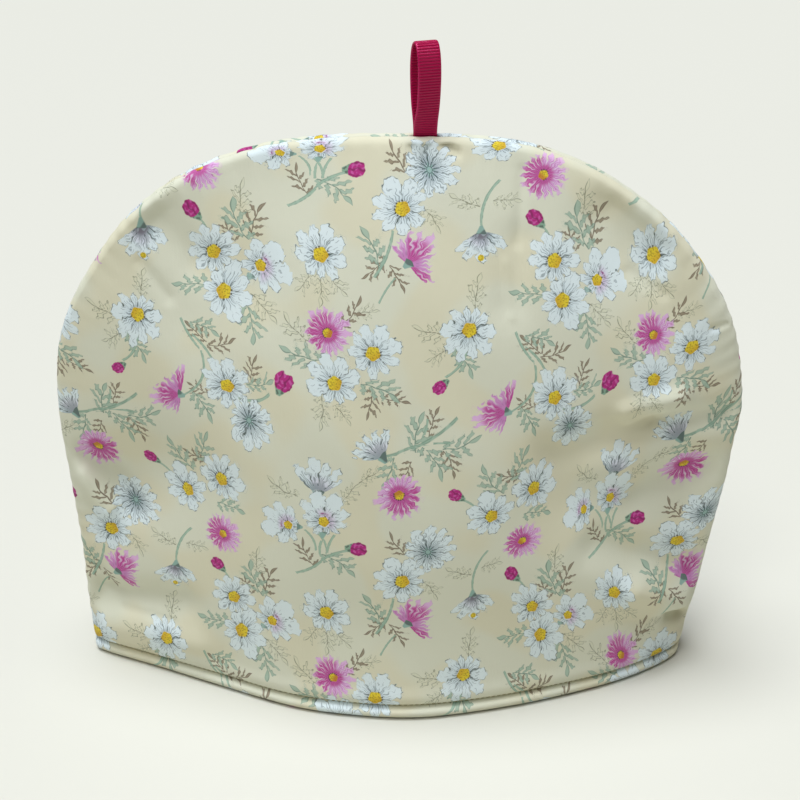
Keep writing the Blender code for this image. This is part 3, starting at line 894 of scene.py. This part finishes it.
def make_panel(name, facing, skew, folds, hollows, creases, eases, shift, materials):
    """One padded panel as a closed surface, its outer face printed and its inner one plain."""
    rows = np.concatenate([np.linspace(0.0, HEM_GRID_Z, HEM_GRID_ROWS + 1),
                           np.linspace(HEM_GRID_Z, SHOULDER_Z, UPPER_GRID_ROWS + 1)[1:]])
    t = np.linspace(0.0, 1.0, GRID_COLUMNS + 1)
    columns = t - COLUMN_BUNCHING * np.sin(TAU * t)
    border, outward = edge_samples(rows, columns)
    layers, cloth = outer_layers(border, outward, rows, columns, skew, folds, hollows, creases)
    inner_rows, inner_columns = rows[::INNER_STEP], columns[::INNER_STEP]
    inner, inner_cloth = inner_layer(border[::INNER_STEP], outward[::INNER_STEP],
                                     inner_rows, inner_columns, skew, folds, hollows)

    faces = grid_faces(0, len(rows), len(columns))
    previous = border_indices(len(rows), len(columns))
    left_end, right_end = [int(previous[0])], [int(previous[-1])]
    patch_count = len(layers[0])
    for i in range(ROLL_STEPS):
        ring = patch_count + i * len(border) + np.arange(len(border))
        faces += strip_faces(previous, ring)
        left_end.append(int(ring[0]))
        right_end.append(int(ring[-1]))
        previous = ring
    inner_start = patch_count + ROLL_STEPS * len(border)
    inner_border = inner_start + border_indices(len(inner_rows), len(inner_columns))
    faces += fan_faces(previous, inner_border)
    bottom = np.arange(len(columns))
    inner_bottom = inner_start + np.arange(len(inner_columns))
    faces += [face[::-1] for face in fan_faces(bottom, inner_bottom)]
    faces.append(left_end + [int(inner_border[0])])
    faces.append((right_end + [int(inner_border[-1])])[::-1])
    printed_count = len(faces)
    faces += [face[::-1] for face in grid_faces(inner_start, len(inner_rows), len(inner_columns))]

    points = np.vstack(layers + [inner])
    cloth = np.vstack(cloth + [inner_cloth])
    points[:, 1] *= facing
    cloth[:, 0] *= -facing
    if facing > 0:
        faces = [face[::-1] for face in faces]
    piece = new_piece(name, points, faces, materials)
    plain = np.arange(len(faces)) >= printed_count
    piece.data.polygons.foreach_set("material_index", plain.astype(int))
    print_layers(piece, cloth, eases, shift)
    return piece


def make_hem_stitches(name, facing, skew, folds, hollows, material):
    """Threads along the hem's groove, each a short capsule that dips into the cloth at its ends.

    A capsule is a ring of points carried along its length: its radius is a half circle's
    at the ends, and its middle line a parabola off the cloth.
    """
    left_end = edge_x(LEFT_EDGE, HEM_STITCH_Z) + STITCH_END_GAP
    right_end = edge_x(RIGHT_EDGE, HEM_STITCH_Z) - STITCH_END_GAP
    x = np.linspace(left_end, right_end, 1200)
    z = np.full_like(x, HEM_STITCH_Z)
    inset, _ = edge_distance(x, z)
    relief = slow_relief(x, z, inset, folds, hollows) + wadding_lumps(x, z, inset)
    y = facing * (2.0 * ROLL_RADIUS + crown(x, z, skew) + relief + hem_relief(z))
    path = np.column_stack([x, y])
    run = run_along(path)
    middles = np.arange(0.5 * STITCH_PITCH, run[-1], STITCH_PITCH)
    centre = np.column_stack([np.interp(middles, run, path[:, k]) for k in range(2)])
    tangent = np.column_stack([np.interp(middles, run, np.gradient(path[:, k], run)) for k in range(2)])
    tangent /= np.linalg.norm(tangent, axis=1)[:, None]
    normal = np.column_stack([tangent[:, 1], -tangent[:, 0]]) * -facing

    a = np.linspace(-1.0, 1.0, 9)
    around = np.linspace(0.0, TAU, 9)[:-1]
    radius = STITCH_RADIUS * np.sqrt(np.maximum(1.0 - a**6, 0.02))
    lift = STITCH_LIFT * (1.0 - 1.6 * a**2)
    unsteady = 0.25 * STITCH_RADIUS * np.sin(7.3 * np.arange(len(middles)))
    along = 0.5 * STITCH_LENGTH * a
    flat = (centre[:, None, None, :]
            + tangent[:, None, None, :] * along[None, :, None, None]
            + normal[:, None, None, :] * (lift[None, :, None, None]
                                          + (radius[:, None] * np.cos(around))[None, :, :, None]))
    height = HEM_STITCH_Z + unsteady[:, None, None] + (radius[:, None] * np.sin(around))[None]
    points = np.concatenate([flat, height[..., None]], axis=-1)

    ring_count, side_count = len(a), len(around)
    base = np.arange(ring_count * side_count).reshape(ring_count, side_count)
    turned = np.roll(base, -1, axis=1)
    quads = np.stack([base[:-1], turned[:-1], turned[1:], base[1:]], axis=-1).reshape(-1, 4)
    starts = (np.arange(len(middles)) * base.size)[:, None, None]
    caps = np.stack([base[0][::-1], base[-1]])
    faces = (quads[None] + starts).reshape(-1, 4).tolist()
    faces += (caps[None] + starts).reshape(-1, side_count).tolist()
    if facing < 0:
        faces = [face[::-1] for face in faces]
    return new_piece(name, points.reshape(-1, 3), faces, [material])


def make_ribbon(material):
    """The ribbon loop: a flat closed profile with rounded sides, carried along the teardrop.

    The loop's height goes as 1 - cos t, and its belly as sin t times a power of sin t/2. A
    straight tail hangs from each end, and the loop turns as it rises. Ribs are a wave
    along the ribbon, which fades out in the selvedges.
    """
    t = np.linspace(0.0, TAU, 481)
    half_gap = 0.5 * (RIBBON_THICKNESS + NEIGHBOUR_GAP)
    belly = RIBBON_BELLY * np.sin(t) * np.maximum(np.sin(0.5 * t), 0.0) ** RIBBON_PINCH
    loop = np.column_stack([belly + half_gap * np.cos(0.5 * t),
                            CREST_Z + 0.5 * (RIBBON_RISE - 0.5 * RIBBON_THICKNESS) * (1.0 - np.cos(t))])
    tail = np.column_stack([np.full(2, half_gap), (CREST_Z - RIBBON_TAIL, CREST_Z - 0.0005)])
    path = np.vstack([tail, loop, tail[::-1] * (-1.0, 1.0)])
    run = run_along(path)
    at = np.linspace(0.0, run[-1], 641)
    path = np.column_stack([np.interp(at, run, path[:, k]) for k in range(2)])
    tangent = np.gradient(path, axis=0)
    tangent /= np.linalg.norm(tangent, axis=1)[:, None]
    normal = np.column_stack([tangent[:, 1], -tangent[:, 0]])

    half_width, half_thick = 0.5 * RIBBON_WIDTH, 0.5 * RIBBON_THICKNESS
    flat = np.linspace(-1.0, 1.0, 17)
    side = np.radians([60.0, 30.0, 0.0, -30.0, -60.0])
    reach = half_width - half_thick
    across = np.concatenate([flat * reach, reach + half_thick * np.cos(side),
                             -flat * reach, -reach - half_thick * np.cos(side)])
    thick = np.concatenate([np.full(17, half_thick), half_thick * np.sin(side),
                            np.full(17, -half_thick), -half_thick * np.sin(side)])
    rib = RIB_HEIGHT * np.cos(TAU * at / RIB_PITCH)[:, None]
    ribbed = smoothstep((half_width - np.abs(across) - 0.5 * SELVEDGE) / (0.5 * SELVEDGE))
    off = thick - 0.8 * RIB_HEIGHT * np.sign(thick) + rib * ribbed * np.sign(thick)
    front = path[:, :1] + normal[:, :1] * off
    z = path[:, 1:] + normal[:, 1:] * off
    turn = np.radians(RIBBON_TURN_DEG) * smoothstep((z - CREST_Z) / RIBBON_TURN_RISE)
    x = RIBBON_X + np.sin(turn) * front + np.cos(turn) * across
    y = -np.cos(turn) * front + np.sin(turn) * across
    points = np.stack([x, y, z], axis=-1)

    rows, sides = points.shape[:2]
    base = np.arange(rows * sides).reshape(rows, sides)
    turned = np.roll(base, -1, axis=1)
    faces = np.stack([base[:-1], turned[:-1], turned[1:], base[1:]], axis=-1).reshape(-1, 4).tolist()
    faces += [base[0][::-1].tolist(), base[-1].tolist()]
    piece = new_piece("ribbon", points.reshape(-1, 3), faces, [material])
    places = np.stack(np.broadcast_arrays(across, at[:, None], off), axis=-1)
    store_places(piece.data, "ribbon", "POINT", places / MM)
    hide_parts("ribbon_loop")
    return piece


def linear(hex_colour):
    """An sRGB hex colour as the linear numbers that a shader takes."""
    srgb = np.array([int(hex_colour[i:i + 2], 16) for i in (1, 3, 5)]) / 255.0
    value = np.where(srgb <= 0.04045, srgb / 12.92, ((srgb + 0.055) / 1.055) ** 2.4)
    return (*value.tolist(), 1.0)


def add(tree, kind, inputs, output=0, **settings):
    """Add a node with its settings, put a value or a link on its inputs, return an output."""
    node = tree.nodes.new("ShaderNode" + kind)
    for name, value in settings.items():
        setattr(node, name, value)
    for key, value in inputs.items():
        if isinstance(value, bpy.types.NodeSocket):
            tree.links.new(value, node.inputs[key])
        else:
            node.inputs[key].default_value = value
    return node.outputs[output]


OPERATIONS = {
    "Add": "ADD", "Sub": "SUBTRACT", "Mult": "MULTIPLY", "Div": "DIVIDE", "Pow": "POWER",
    "Lt": "LESS_THAN", "Gt": "GREATER_THAN", "min": "MINIMUM", "max": "MAXIMUM",
    "sqrt": "SQRT", "abs": "ABSOLUTE", "floor": "FLOOR", "fract": "FRACT", "sin": "SINE",
    "cos": "COSINE", "atan2": "ARCTAN2", "mod": "FLOORED_MODULO",
}


def draw(tree, drawing, known):
    """Write a drawing's formulas as nodes, line by line, and return its named sockets.

    soft(value, from, to) rises from 0 to 1 between two values, chance(a, b) is a number
    drawn for each pair of whole numbers, and cloud(x, y, scale) is smooth noise.
    """
    known = dict(known)

    def socket(part):
        if isinstance(part, ast.Constant):
            return float(part.value)
        if isinstance(part, ast.Name):
            return known[part.id]
        if isinstance(part, ast.UnaryOp):
            return add(tree, "Math", {0: socket(part.operand), 1: -1.0}, operation="MULTIPLY")
        if isinstance(part, ast.BinOp):
            name, terms = type(part.op).__name__, (part.left, part.right)
        elif isinstance(part, ast.Compare):
            name, terms = type(part.ops[0]).__name__, (part.left, part.comparators[0])
        else:
            name, terms = part.func.id, part.args
        values = [socket(term) for term in terms]
        if name == "soft":
            return add(tree, "MapRange", dict(zip((0, 1, 2), values)), interpolation_type="SMOOTHSTEP")
        if name in ("chance", "cloud"):
            place = add(tree, "CombineXYZ", {0: values[0], 1: values[1]})
            if name == "chance":
                return add(tree, "TexWhiteNoise", {"Vector": place}, noise_dimensions="2D")
            return add(tree, "TexNoise", {"Vector": place, "Scale": values[2], "Detail": 0.0},
                       noise_dimensions="2D")
        return add(tree, "Math", dict(enumerate(values)), operation=OPERATIONS[name])

    for line in ast.parse(drawing.strip()).body:
        known[line.targets[0].id] = socket(line.value)
    return known


def new_material(name, finish):
    """A new material, with the finish set on its shader, and its node tree."""
    material = bpy.data.materials.new(name)
    material.use_nodes = True
    shader = material.node_tree.nodes["Principled BSDF"]
    for socket, value in finish.items():
        shader.inputs[socket].default_value = value
    return material, material.node_tree


def dress(tree, colour, height=None, strength=0.0, distance=0.0):
    """Link a colour to the material's shader, and a fine relief of so many metres."""
    shader = tree.nodes["Principled BSDF"]
    tree.links.new(colour, shader.inputs["Base Color"])
    if height is not None:
        bump = add(tree, "Bump", {"Strength": strength, "Distance": distance, "Height": height})
        tree.links.new(bump, shader.inputs["Normal"])


def places_of(tree, name):
    """x, y and code from one of the attributes that hold places on the cloth or ribbon."""
    place = add(tree, "Attribute", {}, output="Vector", attribute_name=name)
    parts = add(tree, "SeparateXYZ", {0: place}).node.outputs
    return {"x": parts[0], "y": parts[1], "code": parts[2]}


def lay_inks(tree, colour, drawn, inks):
    """Lay each ink over the colour so far, as much of it as its name says."""
    for name, ink, strength in inks:
        amount = add(tree, "Math", {0: drawn[name], 1: strength}, operation="MULTIPLY")
        colour = add(tree, "Mix", {0: amount, 6: colour, 7: linear(ink)}, output=2, data_type="RGBA")
    return colour


FLOWER_INKS = (
    # ink, colour, strength
    ("petals", "#DFEBEC", 0.96),
    ("shade", "#BACBD4", 0.50),
    ("blush", "#DDB4DC", 0.55),
    ("mauve", "#E0AEDA", 0.92),
    ("ray", "#BA5AA6", 0.64),
    ("magenta", "#BA3389", 0.88),
    ("pale", "#F0DDEE", 0.80),
    ("rim", "#56635F", 1.0),
    ("streak", "#66757A", 0.66),
    ("star", "#8FAFA6", 0.95),
    ("ticks", "#3E5557", 0.85),
    ("disc", "#E2C92F", 1.0),
    ("ochre", "#CFA224", 0.70),
    ("rust", "#C0622C", 0.70),
    ("grain", "#9C7A1E", 0.60),
    ("dots", "#3F3A28", 0.90),
    ("arc", "#8E1F72", 0.90),
    ("smudge", "#6E6672", 0.80),
    ("calyx", "#8FB0A4", 1.0),
    ("teeth", "#4E5A58", 0.80),
)
BUD_INKS = (
    ("cup", "#86A890", 1.0),
    ("cup_dark", "#55655A", 0.85),
    ("bud", "#B3217C", 1.0),
    ("glow", "#D263AE", 0.6),
    ("vein", "#7A1252", 0.75),
)


def printed_cotton():
    """Plain-weave quilting cotton, printed: matt, with a faint weave and soft-edged inks."""
    material, tree = new_material("printed plain-weave cotton", {
        "IOR": 1.54, "Roughness": 0.88, "Specular IOR Level": 0.30,
        "Sheen Weight": 0.12, "Sheen Roughness": 0.45,
    })
    ground = draw(tree, GROUND_DRAWING, {**places_of(tree, "cloth"), "per_thread": TAU * MM / WEAVE_PITCH})
    colour = lay_inks(tree, linear("#DADAC4"), ground, (("stain", "#DCD2AE", 0.45),))
    for name, fill, edge, width, strength in SPRIG_INKS:
        drawn = draw(tree, SPRIG_DRAWING, {**places_of(tree, name), "width": width})
        colour = lay_inks(tree, colour, drawn, (("leaf", fill, strength), ("edge", edge, 0.75)))
    drawn = draw(tree, STEM_DRAWING, places_of(tree, "stem"))
    colour = lay_inks(tree, colour, drawn, (("stem", "#9DB9A4", 0.92), ("edge", "#6F8C7A", 0.75)))
    for name in ("low_flower", "high_flower"):
        drawn = draw(tree, FLOWER_DRAWING, places_of(tree, name))
        colour = lay_inks(tree, colour, drawn, FLOWER_INKS)
    drawn = draw(tree, BUD_DRAWING, places_of(tree, "bud"))
    colour = lay_inks(tree, colour, drawn, BUD_INKS)
    colour = lay_inks(tree, colour, ground, (("thread_shade", "#8E8B6C", 0.10),))
    dress(tree, colour, ground["height"], strength=0.5, distance=0.00012)
    return material


# Threads of the plain weave are about 0.3 mm apart. They are drawn at 0.7 mm, the finest
# that shows at this distance.
WEAVE_PITCH = 0.0007
GROUND_DRAWING = """
warp = sin(x*per_thread)
weft = sin(y*per_thread)
thread_shade = 0.5 - 0.5*warp*weft
stain = soft(cloud(x, y, 0.035), 0.42, 0.66)
slub = cloud(x, y*0.2, 1.1)
height = 0.35*warp*weft + 0.9*cloud(x, y, 0.28) + 0.5*slub
"""
SPRIG_INKS = (
    # attribute, fill, edge, half width of a leaflet, strength of the fill
    ("line_sprig", "#D3D4B6", "#676A50", 0.074, 0.30),
    ("brown_sprig", "#8E806A", "#6E604E", 0.056, 0.90),
    ("green_sprig", "#A2BAA6", "#6C8374", 0.078, 0.88),
)


def plain_cotton():
    """The inside: the same cloth unprinted, matt cream calico with the weave just showing."""
    material, tree = new_material("plain cream calico", {
        "IOR": 1.54, "Roughness": 0.92, "Specular IOR Level": 0.25,
    })
    ground = draw(tree, GROUND_DRAWING, {**places_of(tree, "cloth"), "per_thread": TAU * MM / WEAVE_PITCH})
    inks = (("stain", "#CFC8AC", 0.4), ("thread_shade", "#9A9478", 0.12))
    colour = lay_inks(tree, linear("#E0DBC6"), ground, inks)
    dress(tree, colour, ground["height"], strength=0.5, distance=0.00015)
    return material


def sewing_thread():
    """Spun polyester thread in the cotton's own pale yellow, a little glossier than it. Its colour is
    drawn darker, as painted shade of the hem's groove.
    """
    material, tree = new_material("spun polyester thread", {"IOR": 1.58, "Roughness": 0.55})
    place = add(tree, "TexCoord", {}, output="Object")
    twist = add(tree, "TexNoise", {"Vector": place, "Scale": 900.0})
    # Both colours are darker than the thread's own pale yellow: painted shade of the groove it lies in.
    colour = add(tree, "Mix", {0: twist, 6: linear("#BDB48C"), 7: linear("#867D58")},
                 output=2, data_type="RGBA")
    dress(tree, colour)
    return material


# The troughs between the ribs are darkened with painted shade, in step with the ribs' relief.
RIBBON_DRAWING = """
rib = 0.5 + 0.5*cos(y*per_rib)
side = soft(abs(x), 4.35, 4.75)
thread = cloud(x*6, y*0.6, 1.0)
fleck = soft(cloud(x*3, y*3, 1.0), 0.35, 0.75)
valley = (1 - rib)*(1 - side)
height = 0.6*thread + 0.8*rib*(1 - side)
"""


def grosgrain():
    """Polyester grosgrain, woven: crimson, ribbed across, with a soft silky sheen."""
    material, tree = new_material("woven polyester grosgrain", {
        "IOR": 1.58, "Roughness": 0.30, "Specular IOR Level": 0.65,
        "Specular Tint": linear("#FF86B8"), "Sheen Weight": 0.06,
        "Sheen Roughness": 0.35, "Sheen Tint": linear("#E87AA8"),
    })
    drawn = draw(tree, RIBBON_DRAWING, {**places_of(tree, "ribbon"), "per_rib": TAU * MM / RIB_PITCH})
    # The dark ink in the rib troughs is painted shade.
    inks = (("valley", "#72062B", 0.60), ("side", "#B8185A", 0.5), ("fleck", "#B3124F", 0.4))
    colour = lay_inks(tree, linear("#AA0A3F"), drawn, inks)
    dress(tree, colour, drawn["height"], strength=0.6, distance=0.00008)
    return material


# The camera and the studio
CAMERA_AT = (0.0, -0.6664, 0.4682)
CAMERA_AIM = (0.0, -0.0253, 0.1472)
CAMERA_LENS_MM = 72.9
CAMERA_SENSOR_MM = 36.0
FLOOR_HALF = 4.0


def aimed(location, target):
    """The rotation that points an object's own -Z from one place to another."""
    return (Vector(target) - Vector(location)).to_track_quat("-Z", "Y").to_euler()


def make_camera():
    """The camera at the photograph's angle, height and distance."""
    lens = bpy.data.cameras.new("camera")
    lens.lens = CAMERA_LENS_MM
    lens.sensor_width = CAMERA_SENSOR_MM
    lens.clip_start = 0.01
    camera = bpy.data.objects.new("camera", lens)
    camera.location = CAMERA_AT
    camera.rotation_euler = aimed(CAMERA_AT, CAMERA_AIM)
    bpy.context.scene.collection.objects.link(camera)
    bpy.context.scene.camera = camera


def make_sun(name, direction, strength, spread_deg, colour):
    """A wide soft light from far away in the given direction."""
    light = bpy.data.lights.new(name, "SUN")
    light.energy = strength
    light.angle = np.radians(spread_deg)
    light.color = linear(colour)[:3]
    lamp = bpy.data.objects.new(name, light)
    lamp.rotation_euler = aimed(direction, (0.0, 0.0, 0.0))
    bpy.context.scene.collection.objects.link(lamp)


def make_stage():
    """A plain pale floor, a dim room and two soft lights, a strong one overhead and a weaker
    one from high in front, a little to the left."""
    mesh = bpy.data.meshes.new("floor")
    corners = [(x * FLOOR_HALF, y * FLOOR_HALF, 0.0) for x, y in ((-1, -1), (1, -1), (1, 1), (-1, 1))]
    mesh.from_pydata(corners, [], [(0, 1, 2, 3)])
    floor = bpy.data.objects.new("floor", mesh)
    bpy.context.scene.collection.objects.link(floor)
    material, _ = new_material("white paper backdrop", {"Base Color": linear("#CFCDC0"), "Roughness": 0.9})
    mesh.materials.append(material)

    world = bpy.data.worlds.new("room")
    world.use_nodes = True
    world.node_tree.nodes["Background"].inputs["Color"].default_value = linear("#FFF8EE")
    world.node_tree.nodes["Background"].inputs["Strength"].default_value = 0.06
    bpy.context.scene.world = world
    make_sun("window", (-0.30, -1.0, 1.60), 1.00, 24.0, "#F8FBFF")
    make_sun("ceiling", (-0.12, 0.0, 1.0), 3.70, 36.0, "#F1F6FF")
    bpy.context.scene.view_settings.view_transform = "Standard"


def dress_cosy():
    """Make every piece of the cosy and hide the solids that they stand in for."""
    cotton, calico, thread = printed_cotton(), plain_cotton(), sewing_thread()
    panels = (
        ("front", -1.0, FRONT_SKEW, FRONT_FOLDS, FRONT_HOLLOWS, FRONT_CREASES, FRONT_EASES, (0.0, 0.0)),
        ("back", 1.0, BACK_SKEW, BACK_FOLDS, BACK_HOLLOWS, BACK_CREASES, (), BACK_SHIFT),
    )
    for side, facing, skew, folds, hollows, creases, eases, shift in panels:
        panel = make_panel(side + "_cloth", facing, skew, folds, hollows, creases, eases, shift,
                           [cotton, calico])
        stitches = make_hem_stitches(side + "_hem_stitches", facing, skew, folds, hollows, thread)
        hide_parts(side + "_panel")
    make_ribbon(grosgrain())


make_camera()
make_stage()
dress_cosy()
